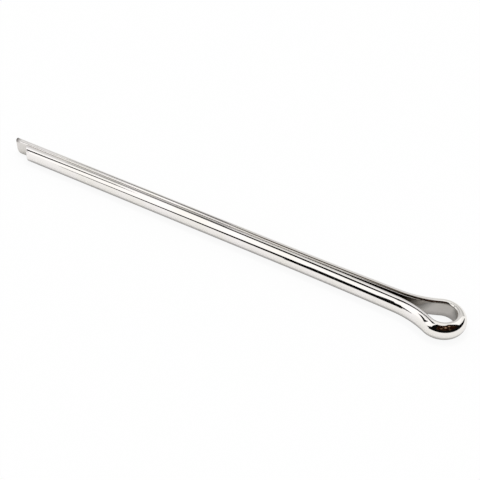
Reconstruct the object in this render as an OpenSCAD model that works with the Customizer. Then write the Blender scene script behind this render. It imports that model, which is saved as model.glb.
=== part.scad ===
// Extended-prong cotter pin, bent from one length of half-round wire.
//
// It lies flat, with the axis of its eye upright. The origin is on the axis of
// the round shank, where the legs have closed together and run straight on. +X
// runs along the legs to their ends, +Y is the side of the short leg, +Z is up.

/* [Shank] */
// Diameter of the shank that the two legs make together
shank_d = 4.45; // [3.6:0.05:8]
// Length under the eye, from the neck to the end of the short leg
shank_len = 101.6; // [60:0.2:160]
// How far the long leg runs past the short one
prong_extra = 3.6; // [2.2:0.1:8]
// Gap left between the flat faces of the two legs where they run straight
leg_gap = 0.12; // [0.04:0.01:0.3]
// Radius of the rounded edges beside the flat face of the wire
wire_edge_r = 0.55; // [0.2:0.05:0.6]

/* [Throat] */
// Gap between the flat faces where the legs spring from the neck
throat_gap = 0.8; // [0.5:0.05:1.6]
// Length over which the legs close from that gap
throat_len = 30; // [15:1:45]

/* [Eye] */
// Inside diameter of the round eye
eye_bore_d = 5.7; // [4.8:0.1:10]
// Angle through which each leg turns out at the neck, in degrees
neck_angle = 27; // [20:0.5:32]

/* [Ends] */
// Radius that the shear left on the lower corner of the long leg's end
long_corner_r = 1.6; // [0.3:0.1:3.2]
// Radius that the shear left on the lower corner of the short leg's end
short_corner_r = 0.8; // [0.3:0.1:2.4]
// Angle at which the short leg's end runs back towards its round side, in degrees
short_slant = 38.5; // [0:0.5:42]
// How far the shear's burr stands out of the long leg's round back
burr_h = 0.12; // [0.06:0.02:0.22]
// How far round from the top of the long leg the burr is highest, in degrees
burr_lean = 22; // [20:1:50]
// Radius to which the burr's edge is curved
burr_r = 1.6; // [1:0.1:1.8]
// Thickness of the burr along the leg
burr_t = 0.3; // [0.2:0.05:0.6]

/* [Hidden] */
$fn = 96;

wire_r = shank_d / 2;
half_gap = leg_gap / 2;
eye_r = eye_bore_d / 2;
// Ends of the two legs
short_end = shank_len - throat_len;
long_end = short_end + prong_extra;

// Half of what the legs open by over the throat
throat_rise = (throat_gap - leg_gap) / 2;
// Angles through which each leg has turned at the two ends of the neck, each to
// a hundredth of a degree
throat_turn = round(200 * atan(throat_rise / throat_len)) / 100;
neck_turn = round(100 * neck_angle) / 100;

// Radius of the legs' slight outward bend in the throat, which starts tangent
// to the straight leg
throat_r = throat_rise / (1 - cos(throat_turn));
// Radius of the tighter bend at the neck. It carries on from the throat and
// runs into the round of the eye without a kink.
neck_r = (eye_r * cos(neck_turn) - throat_gap / 2) / (cos(throat_turn) - cos(neck_turn));
// Centre of the neck's bend on the +Y side
neck_x = -(throat_r - neck_r) * sin(throat_turn);
neck_y = half_gap + throat_r - (throat_r - neck_r) * cos(throat_turn);
// Middle of the eye
eye_x = neck_x - (neck_r + eye_r) * sin(neck_turn);

// Height of the centre of a rounded wire edge above the middle of the wire
edge_z = sqrt(pow(wire_r - wire_edge_r, 2) - pow(wire_edge_r + half_gap, 2));
// Half height of the wire, which is where it touches the surface it lies on
half_h = edge_z + wire_edge_r;

// Section of the wire: its flat face lies on x = 0, its round back towards +x
module wire_section() {
    reach = 2 * wire_r;
    // The round back lies between two lines from its centre through the centres
    // of the rounded edges, where one arc runs into the next
    line_angle = atan2(edge_z, wire_edge_r + half_gap);
    line_end = [reach * cos(line_angle) - half_gap, reach * sin(line_angle)];
    intersection() {
        translate([-half_gap, 0]) circle(r = wire_r);
        polygon([[0, 0], [wire_edge_r, edge_z], line_end, [reach, line_end.y],
                 [reach, -line_end.y], [line_end.x, -line_end.y], [wire_edge_r, -edge_z]]);
    }
    translate([0, -edge_z]) square([wire_edge_r, 2 * edge_z]);
    for (side = [-1, 1]) {
        translate([wire_edge_r, side * edge_z]) circle(r = wire_edge_r);
    }
}

// What the shear took off the end of a leg. Its origin is at the end of the
// flat. It runs back by the slant and takes the lower corner off to a radius.
module shear_cut(slant, corner_r) {
    spare = 1;
    size = corner_r + spare;
    rotate(slant) translate([0, shank_d, 0]) rotate([90, 0, 0]) linear_extrude(shank_d + spare) {
        translate([0, -half_h - spare]) square([shank_d, 2 * (half_h + spare)]);
        translate([-corner_r, -half_h])
            difference() {
                translate([0, -spare]) square(size);
                translate([0, corner_r]) circle(r = corner_r);
            }
    }
}

// Straight stretch of a leg on the +Y side, out to its sheared end
module leg(end_x, slant, corner_r) {
    difference() {
        translate([0, half_gap, 0]) rotate([90, 0, 90]) linear_extrude(end_x) wire_section();
        translate([end_x, half_gap, 0]) shear_cut(slant, corner_r);
    }
}

// Shift in a whole, a small and a tiny step, which together lose no digit, so
// that one bend meets the next in one exact face
module exact_shift(dx, dy) {
    whole = [floor(dx), floor(dy)];
    small = [floor((dx - whole.x) * 1e5) / 1e5, floor((dy - whole.y) * 1e5) / 1e5];
    translate(whole) translate(small) translate([dx, dy] - whole - small) children();
}

// One outward bend of the wire, with its centre at the origin. It covers the
// stretch in which the leg turns from from_turn to to_turn.
module outward_bend(bend_r, from_turn, to_turn) {
    rotate_extrude(angle = to_turn - from_turn, start = 270 - to_turn)
        exact_shift(bend_r, 0) mirror([1, 0]) wire_section();
}

// Throat and neck of one leg, on the +Y side
module neck() {
    translate([0, half_gap]) exact_shift(0, throat_r) outward_bend(throat_r, 0, throat_turn);
    exact_shift(neck_x, neck_y) outward_bend(neck_r, throat_turn, neck_turn);
}

// Round of the eye, which joins the two necks
module eye() {
    exact_shift(eye_x, 0)
        rotate_extrude(angle = 180 + 2 * neck_turn, start = 90 - neck_turn)
            translate([eye_r, 0]) wire_section();
}

// Lip that the shear raised along the upper rim of the long leg's end. It starts
// beyond the rounded edge of the flat.
module burr() {
    start_y = -(half_gap + wire_edge_r);
    translate([long_end - burr_t, 0, 0]) rotate([90, 0, 90]) linear_extrude(burr_t)
        intersection() {
            rotate(90 + burr_lean) translate([wire_r + burr_h - burr_r, 0]) circle(r = burr_r);
            translate([start_y - shank_d, 0]) square(shank_d);
        }
}

module cotter_pin() {
    color([0.78, 0.78, 0.77]) {
        eye();
        neck();
        mirror([0, 1, 0]) neck();
        leg(short_end, short_slant, short_corner_r);
        mirror([0, 1, 0]) leg(long_end, 0, long_corner_r);
        burr();
    }
}

cotter_pin();
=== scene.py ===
import math

import bpy
from mathutils import Matrix, Vector


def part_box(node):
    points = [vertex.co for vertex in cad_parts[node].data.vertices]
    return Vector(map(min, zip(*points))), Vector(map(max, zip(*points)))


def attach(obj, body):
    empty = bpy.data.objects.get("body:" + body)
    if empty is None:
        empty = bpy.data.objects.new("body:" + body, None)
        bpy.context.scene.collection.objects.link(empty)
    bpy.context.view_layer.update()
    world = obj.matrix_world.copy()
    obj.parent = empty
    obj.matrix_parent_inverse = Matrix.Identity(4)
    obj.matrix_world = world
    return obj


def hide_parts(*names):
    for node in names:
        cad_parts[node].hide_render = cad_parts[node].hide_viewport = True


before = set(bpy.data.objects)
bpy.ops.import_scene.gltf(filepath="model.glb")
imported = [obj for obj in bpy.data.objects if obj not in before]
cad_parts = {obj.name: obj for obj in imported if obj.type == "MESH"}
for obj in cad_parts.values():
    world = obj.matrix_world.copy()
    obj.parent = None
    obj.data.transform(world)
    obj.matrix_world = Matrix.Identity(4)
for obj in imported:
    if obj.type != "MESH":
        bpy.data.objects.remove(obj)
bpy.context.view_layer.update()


# ---------------------------------------------------------------------------
# The wire. Soft steel wire is drawn to a half-round section with rounded edges,
# laid back on itself flat to flat and closed into one round shank. It is
# modelled in millimetres, from the short leg's end round the eye to the long one's.
# ---------------------------------------------------------------------------
MM = 0.001
long_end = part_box("cotter_pin")[1].x / MM
leg_difference = 3.6
short_end = long_end - leg_difference
shank_r = 2.225
half_gap = 0.06
edge_r = 0.6
edge_z = math.sqrt((shank_r - edge_r) ** 2 - (edge_r + half_gap) ** 2)
half_height = edge_z + edge_r
throat_length = 30
throat_half_gap = 0.4
eye_r = 2.85
neck_turn = math.radians(27)
burr_length = 0.18
flat_cuts = 11
edge_steps = 16
back_steps = 56
leg_steps = 60
throat_steps = 24
neck_steps = 28
eye_steps = 90
tiny = 0.001

# The legs open slightly along the throat, bend out at the neck and meet round the
# eye. The throat's turn is rounded to a hundredth of a degree, as the solid's is.
throat_rise = throat_half_gap - half_gap
throat_slope = math.degrees(math.atan(throat_rise / throat_length))
throat_turn = math.radians(round(200 * throat_slope) / 100)
throat_r = throat_rise / (1 - math.cos(throat_turn))
neck_r = (eye_r * math.cos(neck_turn) - throat_half_gap) / (
    math.cos(throat_turn) - math.cos(neck_turn)
)
throat_y = half_gap + throat_r
neck_x = -(throat_r - neck_r) * math.sin(throat_turn)
neck_y = throat_y - (throat_r - neck_r) * math.cos(throat_turn)
eye_x = neck_x - (neck_r + eye_r) * math.sin(neck_turn)


def pick(piece, wanted):
    """Selects the vertices whose place wanted() accepts, with all that they bound."""
    bpy.ops.mesh.select_all(action="DESELECT")
    bpy.ops.object.mode_set(mode="OBJECT")
    for vertex in piece.data.vertices:
        vertex.select = wanted(vertex.co)
    bpy.ops.object.mode_set(mode="EDIT")


def bend(centre_x, centre_y, angle, steps):
    """Carries the selected section on round an upright bending pin, clockwise from above."""
    bpy.ops.mesh.spin(steps=steps, angle=angle, center=(centre_x, centre_y, 0), axis=(0, 0, 1))


def run_on(distance, steps):
    """Carries the selected section straight on along X."""
    for _ in range(steps):
        bpy.ops.mesh.extrude_edges_move(TRANSFORM_OT_translate={"value": (distance / steps, 0, 0)})


bpy.ops.object.select_all(action="DESELECT")
bpy.ops.mesh.primitive_plane_add(
    size=2 * edge_z, location=(short_end, half_gap - edge_z, 0), rotation=(0, math.radians(90), 0)
)
wire = bpy.context.object
wire.name = "cotter_pin_wire"
bpy.ops.object.transform_apply(location=True, rotation=True, scale=True)
bpy.ops.object.mode_set(mode="EDIT")
bpy.context.tool_settings.mesh_select_mode = (True, False, False)

# The section of the wire. One side of the plane is its flat, and a point carried
# on from the end of the flat draws the rounded edges and the round back.
pick(wire, lambda co: co.y < 0)
bpy.ops.mesh.delete(type="VERT")
bpy.ops.mesh.select_all(action="SELECT")
bpy.ops.mesh.subdivide(number_cuts=flat_cuts)
half_back_sweep = math.atan2(edge_z, edge_r + half_gap)
edge_sweep = math.pi - half_back_sweep
pick(wire, lambda co: co.z > edge_z - tiny)
for centre_y, centre_z, sweep, steps in (
    (half_gap + edge_r, edge_z, edge_sweep, edge_steps),
    (0, 0, 2 * half_back_sweep, back_steps),
    (half_gap + edge_r, -edge_z, edge_sweep, edge_steps),
):
    bpy.ops.mesh.spin(
        steps=steps, angle=sweep, center=(short_end, centre_y, centre_z), axis=(1, 0, 0)
    )
bpy.ops.mesh.select_all(action="SELECT")
bpy.ops.mesh.remove_doubles(threshold=tiny)

# The short leg, the eye between its two necks, and the long leg
run_on(-burr_length, 1)
run_on(-(short_end - burr_length), leg_steps)
bend(0, throat_y, throat_turn, throat_steps)
bend(neck_x, neck_y, neck_turn - throat_turn, neck_steps)
bend(eye_x, 0, -(math.pi + 2 * neck_turn), eye_steps)
bend(neck_x, -neck_y, neck_turn - throat_turn, neck_steps)
bend(0, -throat_y, throat_turn, throat_steps)
run_on(long_end - burr_length, leg_steps)
run_on(burr_length, 1)

eye_arc = eye_r * (math.pi / 2 + neck_turn)
neck_arc = neck_r * (neck_turn - throat_turn)
throat_arc = throat_r * throat_turn


def place_in_straight_wire(x, y):
    """Where a point of the wire was before bending.

    It gives how far along from the middle of the eye, and how deep under the flat.
    """
    side = math.copysign(1, y)
    y = abs(y)
    if x > 0:
        return side * (eye_arc + neck_arc + throat_arc + x), y - half_gap
    throat_bearing = math.atan2(-x, throat_y - y)
    if throat_bearing < throat_turn:
        along = eye_arc + neck_arc + throat_r * (throat_turn - throat_bearing)
        return side * along, throat_r - math.hypot(x, throat_y - y)
    neck_bearing = math.atan2(neck_x - x, neck_y - y)
    if neck_bearing < neck_turn:
        along = eye_arc + neck_r * (neck_turn - neck_bearing)
        return side * along, neck_r - math.hypot(neck_x - x, neck_y - y)
    eye_bearing = math.atan2(y, x - eye_x)
    return side * eye_r * (math.pi - eye_bearing), math.hypot(x - eye_x, y) - eye_r


# ---------------------------------------------------------------------------
# The two ends. Each leg was cropped by a shear, which drew its lower corner
# round as it entered and raised a thin burr on the long leg's upper rim as it left.
# ---------------------------------------------------------------------------
long_corner_r = 1.6
short_corner_r = 0.8
short_slant = math.radians(38.5)
corner_cuts = 9
rim_bevel = 0.04
burr_start = 0.07
burr_end = 0.9
burr_rise = 0.16
bare_edge = 0.5 * rim_bevel
cut_reach = 4


def shear_off(end_x, side, slant, corner_r):
    """Crops a leg by flat cuts, the end first and then round its lower corner.

    side is +1 for the short leg and -1 for the long one.
    """
    for cut in range(corner_cuts + 1):
        lean = math.pi / 2 * max(cut - 0.5, 0) / corner_cuts
        run_back = corner_r - corner_r * math.cos(lean)
        pick(wire, lambda co: co.x > end_x - corner_r - cut_reach and co.y * side > 0)
        bpy.ops.mesh.bisect(
            plane_co=(
                end_x - run_back * math.cos(slant),
                side * (half_gap - run_back * math.sin(slant)),
                corner_r - half_height - corner_r * math.sin(lean),
            ),
            plane_no=(
                math.cos(lean) * math.cos(slant),
                side * math.cos(lean) * math.sin(slant),
                -math.sin(lean),
            ),
            use_fill=True,
            clear_outer=True,
            threshold=0.0001,
        )


shear_off(short_end, 1, short_slant, short_corner_r)
shear_off(long_end, -1, 0, long_corner_r)

bpy.ops.mesh.select_all(action="DESELECT")
bpy.context.tool_settings.mesh_select_mode = (False, True, False)
bpy.ops.mesh.edges_select_sharp(sharpness=math.radians(40))
bpy.ops.mesh.bevel(offset=rim_bevel, segments=2, affect="EDGES")
bpy.context.tool_settings.mesh_select_mode = (True, False, False)

# The burr stands out of the last band of the long leg, over its upper inner edge
pick(
    wire,
    lambda co: long_end - burr_length - tiny < co.x < long_end - bare_edge
    and -burr_end < co.y < -burr_start
    and co.z > 0,
)
bpy.ops.mesh.select_mode(type="FACE")
bpy.ops.mesh.extrude_region_move(TRANSFORM_OT_translate={"value": (0, 0.03, burr_rise)})
bpy.ops.transform.resize(value=(0.6, 0.9, 0.8), center_override=(long_end, -burr_end, half_height))

bpy.ops.mesh.select_all(action="SELECT")
bpy.ops.mesh.normals_make_consistent(inside=False)
bpy.ops.mesh.select_all(action="DESELECT")
bpy.ops.object.mode_set(mode="OBJECT")
bpy.ops.object.shade_smooth_by_angle(angle=math.radians(35))

# Each point's place in the straight wire, for the finish that the die drew along
# it, and whether the shear left it bare
wire.data.attributes.new("straight_place", "FLOAT_VECTOR", "POINT")
wire.data.attributes.new("sheared", "FLOAT", "POINT")
straight_places = wire.data.attributes["straight_place"].data
bare_places = wire.data.attributes["sheared"].data
for vertex, place, bare in zip(wire.data.vertices, straight_places, bare_places):
    along, depth = place_in_straight_wire(vertex.co.x, vertex.co.y)
    place.vector = (along, depth, vertex.co.z)
    if along > 0:
        beyond = vertex.co.x - short_end
        beyond = beyond * math.cos(short_slant) + depth * math.sin(short_slant)
        on_burr = False
    else:
        beyond = vertex.co.x - long_end
        on_burr = beyond > -burr_length - tiny and depth < burr_end
        on_burr = on_burr and vertex.co.z > edge_z - 0.1
    bare.value = 1 if beyond > -bare_edge or on_burr else 0

wire.data.transform(Matrix.Scale(MM, 4))
wire.data.update()


# ---------------------------------------------------------------------------
# The finish. The wire is plated bright with zinc, over the fine lines that the
# die drew along it. What the shear cut is duller, bare steel.
# ---------------------------------------------------------------------------
def noise(tree, place, scale, detail):
    """Smooth random values over a place."""
    texture = tree.nodes.new("ShaderNodeTexNoise")
    texture.inputs["Scale"].default_value = scale
    texture.inputs["Detail"].default_value = detail
    tree.links.new(place, texture.inputs["Vector"])
    return texture.outputs["Fac"]


def ramp(tree, value, stops, interpolation="LINEAR"):
    """A colour that runs through some stops as a value grows."""
    colours = tree.nodes.new("ShaderNodeValToRGB")
    elements = colours.color_ramp.elements
    colours.color_ramp.interpolation = interpolation
    for element, (position, colour) in zip(elements, (stops[0], stops[-1])):
        element.position = position
        element.color = (*colour, 1)
    for position, colour in stops[1:-1]:
        elements.new(position).color = (*colour, 1)
    tree.links.new(value, colours.inputs["Fac"])
    return colours.outputs["Color"]


def fade(tree, value, start, end, lowest=0.0, highest=1.0):
    """Runs from lowest to highest as a value goes from start to end."""
    span = tree.nodes.new("ShaderNodeMapRange")
    span.inputs["From Min"].default_value = start
    span.inputs["From Max"].default_value = end
    span.inputs["To Min"].default_value = lowest
    span.inputs["To Max"].default_value = highest
    tree.links.new(value, span.inputs["Value"])
    return span.outputs["Result"]


def calculate(tree, operation, *values):
    """The result of one operation on sockets and plain numbers."""
    step = tree.nodes.new("ShaderNodeMath")
    step.operation = operation
    for socket, value in zip(step.inputs, values):
        if isinstance(value, (int, float)):
            socket.default_value = value
        else:
            tree.links.new(value, socket)
    return step.outputs["Value"]


def all_of(tree, *masks):
    """The product of some masks."""
    product = masks[0]
    for mask in masks[1:]:
        product = calculate(tree, "MULTIPLY", product, mask)
    return product


def blend(tree, factor, a, b):
    """A colour between a and b, each a socket or a plain colour."""
    mix = tree.nodes.new("ShaderNodeMix")
    mix.data_type = "RGBA"
    tree.links.new(factor, mix.inputs["Factor"])
    for name, colour in (("A", a), ("B", b)):
        if isinstance(colour, tuple):
            mix.inputs[name].default_value = (*colour, 1)
        else:
            tree.links.new(colour, mix.inputs[name])
    return mix.outputs["Result"]


zinc = bpy.data.materials.new("bright_zinc_plate")
zinc.use_nodes = True
finish = zinc.node_tree
shader = finish.nodes["Principled BSDF"]
shader.inputs["Metallic"].default_value = 1.0

straight = finish.nodes.new("ShaderNodeAttribute")
straight.attribute_name = "straight_place"
straight_axes = finish.nodes.new("ShaderNodeSeparateXYZ")
finish.links.new(straight.outputs["Vector"], straight_axes.inputs["Vector"])
wire_along = straight_axes.outputs["X"]
wire_depth = straight_axes.outputs["Y"]
wire_height = straight_axes.outputs["Z"]
bare_steel = finish.nodes.new("ShaderNodeAttribute")
bare_steel.attribute_name = "sheared"

tint = ramp(
    finish,
    noise(finish, straight.outputs["Vector"], 0.16, 2),
    ((0.35, (0.87, 0.845, 0.80)), (0.65, (0.91, 0.88, 0.865))),
)

# Painted reflection: a dark line along the wire's inner upper shoulder, from the eye
# to some way down the long leg, in place of a dark stripe mirrored there
black, white = (0, 0, 0), (1, 1, 1)
painted_reflection_line = all_of(
    finish,
    ramp(
        finish, wire_depth, ((0.11, black), (0.22, white), (0.34, white), (0.50, black)), "EASE"
    ),
    calculate(finish, "GREATER_THAN", wire_height, 0.5),
    fade(finish, wire_along, -72, -46),
    fade(finish, wire_along, -5, -12),
)

# Painted shade: the flats are darkened, most of all where they lie close together
# in the throat, and less in the eye and towards the ends
away_from_eye = calculate(finish, "ABSOLUTE", wire_along)
painted_flat_shade = all_of(
    finish,
    fade(finish, wire_depth, 0.05, 0.01),
    fade(finish, away_from_eye, 9, 17, lowest=0.33),
    fade(finish, away_from_eye, 70, 45, lowest=0.22),
)
# The painted shade and the painted reflection line share one dark colour, laid over the plate's
# tone
painted_shade_and_reflection = calculate(finish, "MAXIMUM", painted_reflection_line, painted_flat_shade)
plate_tone_and_painted_shade = blend(finish, painted_shade_and_reflection, tint, (0.13, 0.105, 0.075))
colour = blend(finish, bare_steel.outputs["Fac"], plate_tone_and_painted_shade, (0.34, 0.32, 0.30))
finish.links.new(colour, shader.inputs["Base Color"])

# Fine drawn lines, which also roughen the plate a little
lines_map = finish.nodes.new("ShaderNodeMapping")
lines_map.inputs["Scale"].default_value = (0.02, 3.2, 3.2)
finish.links.new(straight.outputs["Vector"], lines_map.inputs["Vector"])
lines = noise(finish, lines_map.outputs["Vector"], 1.0, 1)
roughness = finish.nodes.new("ShaderNodeMix")
roughness.inputs["B"].default_value = 0.45
finish.links.new(bare_steel.outputs["Fac"], roughness.inputs["Factor"])
finish.links.new(fade(finish, lines, 0.3, 0.7, 0.02, 0.06), roughness.inputs["A"])
finish.links.new(roughness.outputs["Result"], shader.inputs["Roughness"])
bump = finish.nodes.new("ShaderNodeBump")
bump.inputs["Strength"].default_value = 0.035
bump.inputs["Distance"].default_value = 0.00002
finish.links.new(lines, bump.inputs["Height"])
finish.links.new(bump.outputs["Normal"], shader.inputs["Normal"])

wire.data.materials.clear()
wire.data.materials.append(zinc)
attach(wire, "root")
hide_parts("cotter_pin")

# ---------------------------------------------------------------------------
# The table and the light. The pin lies on white paper in a white cloth tent, and
# its bright plate mirrors the tent's opening, seams, walls and stands. Cards that
# only the metal sees stand for these, and two soft lamps light the paper.
# ---------------------------------------------------------------------------
bpy.ops.object.select_all(action="DESELECT")
bpy.ops.mesh.primitive_circle_add(
    vertices=96, radius=1.5, fill_type="NGON", location=(0, 0, -half_height * MM)
)
table = bpy.context.object
table.name = "table"
bpy.ops.object.transform_apply(location=True, rotation=True, scale=True)
white_paper = bpy.data.materials.new("white_paper")
white_paper.use_nodes = True
sheet = white_paper.node_tree
sheet.nodes.remove(sheet.nodes["Principled BSDF"])
contact_shade = sheet.nodes.new("ShaderNodeAmbientOcclusion")
contact_shade.samples = 8
contact_shade.inputs["Color"].default_value = (1, 1, 1, 1)
contact_shade.inputs["Distance"].default_value = 0.0016
contact_depth = calculate(sheet, "POWER", contact_shade.outputs["AO"], 2.0)
paper_colour = blend(sheet, contact_depth, (0.05, 0.05, 0.05), (0.93, 0.93, 0.93))
paper = sheet.nodes.new("ShaderNodeBsdfDiffuse")
sheet.links.new(paper_colour, paper.inputs["Color"])

# The camera sees the paper as nearly pure white, and the metal sees it a little
# whiter than the lamps alone make it
glow = sheet.nodes.new("ShaderNodeEmission")
glow.inputs["Color"].default_value = (1, 1, 1, 1)
seen = sheet.nodes.new("ShaderNodeLightPath")
seen_in_metal = calculate(
    sheet, "MAXIMUM", seen.outputs["Is Glossy Ray"], seen.outputs["Is Transmission Ray"]
)
camera_share = calculate(sheet, "MULTIPLY", seen.outputs["Is Camera Ray"], 0.93)
whiten = sheet.nodes.new("ShaderNodeMixShader")
sheet.links.new(
    calculate(sheet, "MULTIPLY_ADD", seen_in_metal, 0.27, camera_share), whiten.inputs["Fac"]
)
sheet.links.new(paper.outputs["BSDF"], whiten.inputs[1])
sheet.links.new(glow.outputs["Emission"], whiten.inputs[2])
sheet.links.new(whiten.outputs["Shader"], sheet.nodes["Material Output"].inputs["Surface"])
table.data.materials.append(white_paper)


def card_shade(name, brightness):
    """A card's finish, as bright as it looks in the tent's light."""
    shade = bpy.data.materials.new(name)
    shade.use_nodes = True
    tree = shade.node_tree
    tree.nodes.remove(tree.nodes["Principled BSDF"])
    lit = tree.nodes.new("ShaderNodeEmission")
    lit.inputs["Color"].default_value = (brightness, brightness, brightness, 1)
    tree.links.new(lit.outputs["Emission"], tree.nodes["Material Output"].inputs["Surface"])
    return shade


black_card = card_shade("black_card", 0.004)
dark_grey_card = card_shade("dark_grey_card", 0.25)
dark_wall_card = card_shade("dark_wall_card", 0.56)
grey_card = card_shade("grey_card", 0.74)
light_grey_card = card_shade("light_grey_card", 0.87)

# Brown things with a few lit spots, seen dimly through the tent's opening
dim_room = card_shade("dim_room", 0.004)
room = dim_room.node_tree
room_place = room.nodes.new("ShaderNodeTexCoord").outputs["Object"]
room_colour = ramp(
    room,
    noise(room, room_place, 11, 2),
    ((0.48, (0.012, 0.003, 0.002)), (0.60, (0.045, 0.025, 0.012)), (0.72, (0.75, 0.50, 0.34))),
)
room.links.new(room_colour, room.nodes["Emission"].inputs["Color"])


def hang(card, shade):
    """Finishes a card of the light tent, which the camera looks through."""
    bpy.ops.object.transform_apply(location=True, rotation=True, scale=True)
    card.data.materials.append(shade)
    card.visible_camera = False
    card.visible_diffuse = False
    card.visible_shadow = False


def curved_card(name, radius, from_bearing, to_bearing, low, high, shade, corner=0):
    """A card that stands round the eye between two bearings, in degrees from +Y towards +X.

    corner is how far down its edge at to_bearing the upper corner is cut off. The
    lengths are in millimetres.
    """
    bpy.ops.object.select_all(action="DESELECT")
    bpy.ops.mesh.primitive_cylinder_add(
        vertices=360, radius=radius * MM, depth=(high - low) * MM, end_fill_type="NOTHING"
    )
    card = bpy.context.object
    card.name = name

    def outside(co):
        bearing = math.degrees(math.atan2(co.x, co.y))
        return (bearing - from_bearing) % 360 > to_bearing - from_bearing

    bpy.ops.object.mode_set(mode="EDIT")
    pick(card, outside)
    bpy.ops.mesh.delete(type="VERT")
    if corner:
        sweep = math.radians(to_bearing - from_bearing)
        middle = math.radians(to_bearing + from_bearing) / 2
        across = 2 * radius * math.sin(sweep / 2)
        lean = math.atan2(corner, across)
        bpy.ops.mesh.select_all(action="SELECT")
        bpy.ops.mesh.bisect(
            plane_co=(
                radius * MM * math.sin(math.radians(from_bearing)),
                radius * MM * math.cos(math.radians(from_bearing)),
                (high - low) / 2 * MM,
            ),
            plane_no=(
                math.sin(lean) * math.cos(middle),
                -math.sin(lean) * math.sin(middle),
                math.cos(lean),
            ),
            clear_outer=True,
        )
    bpy.ops.object.mode_set(mode="OBJECT")
    card.location = (eye_x * MM, 0, (low + high) / 2 * MM)
    hang(card, shade)


curved_card("tent_opening", 240, -113, 20, 0, 800, black_card)
curved_card("room_beyond", 235, -100, 0, 110, 700, dim_room)
curved_card("tent_opening_edge", 240, 18, 24, 0, 700, black_card, corner=560)
curved_card("tent_opening_foot", 240, 18, 31, 0, 118, black_card)
curved_card("tent_side", 1300, 73, 87, 0, 2300, light_grey_card)
curved_card("tent_back_foot", 1300, 87, 205, 0, 420, dark_wall_card)
curved_card("tent_back", 1300, 87, 205, 420, 2300, grey_card)


def overhead(name, start, end, width_start, width_end, height, shade):
    """A flat strip that hangs level at a height in metres.

    start and end are the points between which it runs, and the widths are across
    it there, all in parts of that height.
    """
    start = Vector(start) * height
    end = Vector(end) * height
    run = end - start
    bpy.ops.mesh.primitive_plane_add(
        size=1, location=((start.x + end.x) / 2, (start.y + end.y) / 2, height)
    )
    strip = bpy.context.object
    strip.name = name
    strip.scale = (run.length, height, 1)
    strip.rotation_euler = (0, 0, math.atan2(run.y, run.x))
    strip.data.vertices[0].co.y = -width_start / 2
    strip.data.vertices[2].co.y = width_start / 2
    strip.data.vertices[1].co.y = -width_end / 2
    strip.data.vertices[3].co.y = width_end / 2
    hang(strip, shade)


overhead("tent_bar", (0.25, 0.40), (0.66, -0.20), 0.25, 0.18, 0.9, black_card)
overhead("tent_bar_end", (0.64, -0.16), (0.95, -1.60), 0.30, 0.34, 0.9, dark_grey_card)


def standing(name, bearing_a, low_a, high_a, bearing_b, low_b, high_b, away, shade):
    """A flat card that stands upright between two bearings, in metres and degrees.

    low and high are the elevations of its lower and upper corner at each bearing.
    """
    bpy.ops.mesh.primitive_plane_add(size=2)
    card = bpy.context.object
    card.name = name
    ends = ((bearing_a, low_a), (bearing_b, low_b), (bearing_a, high_a), (bearing_b, high_b))
    for vertex, (bearing, elevation) in zip(card.data.vertices, ends):
        vertex.co = (
            away * math.sin(math.radians(bearing)),
            away * math.cos(math.radians(bearing)),
            away * math.tan(math.radians(elevation)),
        )
    hang(card, shade)


standing("tent_opening_side", -148, 0, 6, -108, 0, 26, 1.1, black_card)
standing("table_edge", 20, 4, 26, 30, 8, 20, 1.1, black_card)
standing("table_edge_end", 30, 7.5, 20.5, 39.5, 9, 12, 1.1, black_card)
standing("lamp_stand", 54.5, 20, 46, 63, 20, 48, 0.386, black_card)


def softbox(name, bearing, elevation, distance, size, brightness):
    """A square soft lamp aimed at the eye."""
    away = Vector(
        (
            math.cos(math.radians(elevation)) * math.sin(math.radians(bearing)),
            math.cos(math.radians(elevation)) * math.cos(math.radians(bearing)),
            math.sin(math.radians(elevation)),
        )
    )
    bpy.ops.object.light_add(type="AREA", location=away * distance)
    lamp = bpy.context.object
    lamp.name = name
    lamp.rotation_euler = away.to_track_quat("Z", "Y").to_euler()
    lamp.data.shape = "SQUARE"
    lamp.data.size = size
    lamp.data.energy = brightness * math.pi * size**2


softbox("right_softbox", 43, 40, 3.2, 2.6, 0.14)
softbox("left_softbox", -132, 48, 3.2, 2.1, 0.14)

world = bpy.data.worlds.new("white_tent")
world.use_nodes = True
world.node_tree.nodes["Background"].inputs["Color"].default_value = (1, 1, 1, 1)
world.node_tree.nodes["Background"].inputs["Strength"].default_value = 1.0
bpy.context.scene.world = world
bpy.context.scene.view_settings.view_transform = "Standard"

# ---------------------------------------------------------------------------
# The camera. It looks down along the pin from the eye's side, so that the ends
# lie at the upper left.
# ---------------------------------------------------------------------------
camera_pitch = math.radians(39.234)
camera_bearing = math.radians(-57.193)
camera_distance = 210.69 * MM
aim = Vector((7.886, 0.885, 0)) * MM
look = Vector(
    (
        math.cos(camera_pitch) * math.cos(camera_bearing),
        math.cos(camera_pitch) * math.sin(camera_bearing),
        -math.sin(camera_pitch),
    )
)
bpy.ops.object.camera_add(location=aim - look * camera_distance)
camera = bpy.context.object
camera.rotation_euler = look.to_track_quat("-Z", "Y").to_euler()
camera.data.lens = 71.414
camera.data.clip_start = 0.01
bpy.context.scene.camera = camera
